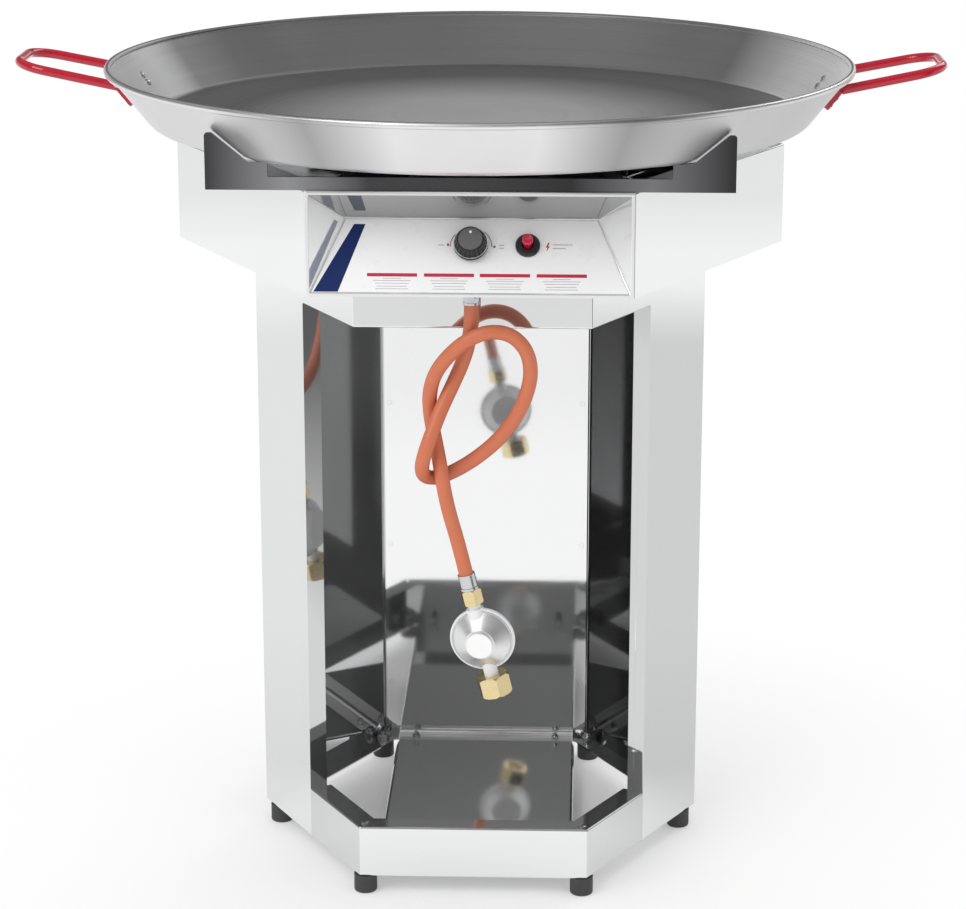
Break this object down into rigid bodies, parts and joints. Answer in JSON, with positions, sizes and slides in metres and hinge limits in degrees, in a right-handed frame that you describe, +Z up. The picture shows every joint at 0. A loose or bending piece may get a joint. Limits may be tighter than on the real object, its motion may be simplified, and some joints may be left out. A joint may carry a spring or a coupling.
{
  "type": "gas burner stand with pan",
  "caption": "Free-standing gas cooker: hexagonal steel column with a bottle bay, wider burner box with a sunk control panel, knotted hose with regulator, and a wide shallow lift-off pan.",
  "frame": {"origin": "on the floor, under the middle of the hexagonal column", "axes": "+Z up, -Y to the open front with the controls, +X to the right seen from the front"},
  "size_m": [0.991, 0.8, 0.8795],
  "materials": {
    "polished_steel": "mirror polished stainless sheet",
    "pan_steel": "polished carbon steel, darker and finely turned inside",
    "dark_steel": "dark satin steel plate",
    "burner_iron": "heat-proof matt black",
    "zinc": "zinc plated",
    "rubber_foot": "matt black",
    "label_film": "printed satin film",
    "black_plastic": "fine moulded grain",
    "white_print": "plain white",
    "red_plastic": "clear red moulding",
    "brass": "machined, lightly tarnished",
    "red_paint": "gloss red coating",
    "orange_rubber": "satin gas hose",
    "cast_aluminium": "fine die-cast grey",
    "ceramic": "glazed ceramic",
    "copper": "bare copper"
  },
  "bodies": {
    "cabinet": {"front_bottom_rail": "polished_steel", "front_top_rail": "polished_steel", "left_side_panel": "polished_steel", "right_side_panel": "polished_steel", "back_panel": "polished_steel", "bottle_plate": "polished_steel", "feet": "rubber_foot", "foot_bolts": "zinc", "plate_bolts": "zinc", "rail_screws": "zinc", "back_screws": "zinc", "box_floor": "polished_steel", "box_left_wall": "polished_steel", "box_right_wall": "polished_steel", "box_back_wall": "polished_steel", "control_fascia": "polished_steel", "control_label": "label_film", "gas_valve": "brass", "inlet_pipe": "zinc", "inlet_nut": "zinc", "igniter_barrel": "black_plastic", "igniter_nut": "black_plastic", "igniter_bezel": "black_plastic", "ignition_lead": "red_paint", "electrode": "ceramic", "thermocouple": "copper", "thermocouple_lead": "copper", "sensor_plate": "zinc", "burner": "burner_iron", "mixing_tube": "burner_iron", "burner_legs": "zinc", "injector": "brass", "injector_bracket": "zinc", "gas_pipe": "copper", "pan_support_front": "dark_steel", "pan_support_back": "dark_steel", "support_bolts": "zinc", "hose_top_ferrule": "zinc", "gas_hose": "orange_rubber", "hose_end_ferrule": "zinc", "hose_nut": "brass", "regulator_body": "cast_aluminium", "regulator_cover": "cast_aluminium", "regulator_disc": "white_print"},
    "pan": {"pan": "pan_steel", "left_handle": "red_paint", "right_handle": "red_paint", "handle_rivets": "zinc"},
    "valve_push": {"valve_sleeve": "brass"},
    "knob": {"knob": "black_plastic", "knob_dot": "white_print", "valve_spindle": "brass"},
    "igniter_button": {"igniter_button": "red_plastic"},
    "union_nut": {"union_nut": "brass"}
  },
  "joints": [
    {"name": "pan_lift", "type": "slide", "parent": "cabinet", "child": "pan", "axis": [0, 0, 1], "range_m": [0, 0.15]},
    {"name": "knob_push", "type": "slide", "parent": "cabinet", "child": "valve_push", "axis": [0, 0.8, -0.6], "range_m": [0, 0.004], "stiffness_N_per_m": 900, "springref_m": -0.002},
    {"name": "knob_turn", "type": "hinge", "parent": "valve_push", "child": "knob", "pos_m": [0, -0.25274, 0.72376], "axis": [0, -0.8, 0.6], "range_deg": [0, 210]},
    {"name": "igniter_push", "type": "slide", "parent": "cabinet", "child": "igniter_button", "axis": [0, 0.8, -0.6], "range_m": [0, 0.007], "stiffness_N_per_m": 900, "springref_m": -0.002},
    {"name": "union_nut_spin", "type": "hinge", "parent": "cabinet", "child": "union_nut", "pos_m": [0.02442, -0.24314, 0.25061], "axis": [0.2301, 0.0411, -0.9723], "continuous": true}
  ]
}
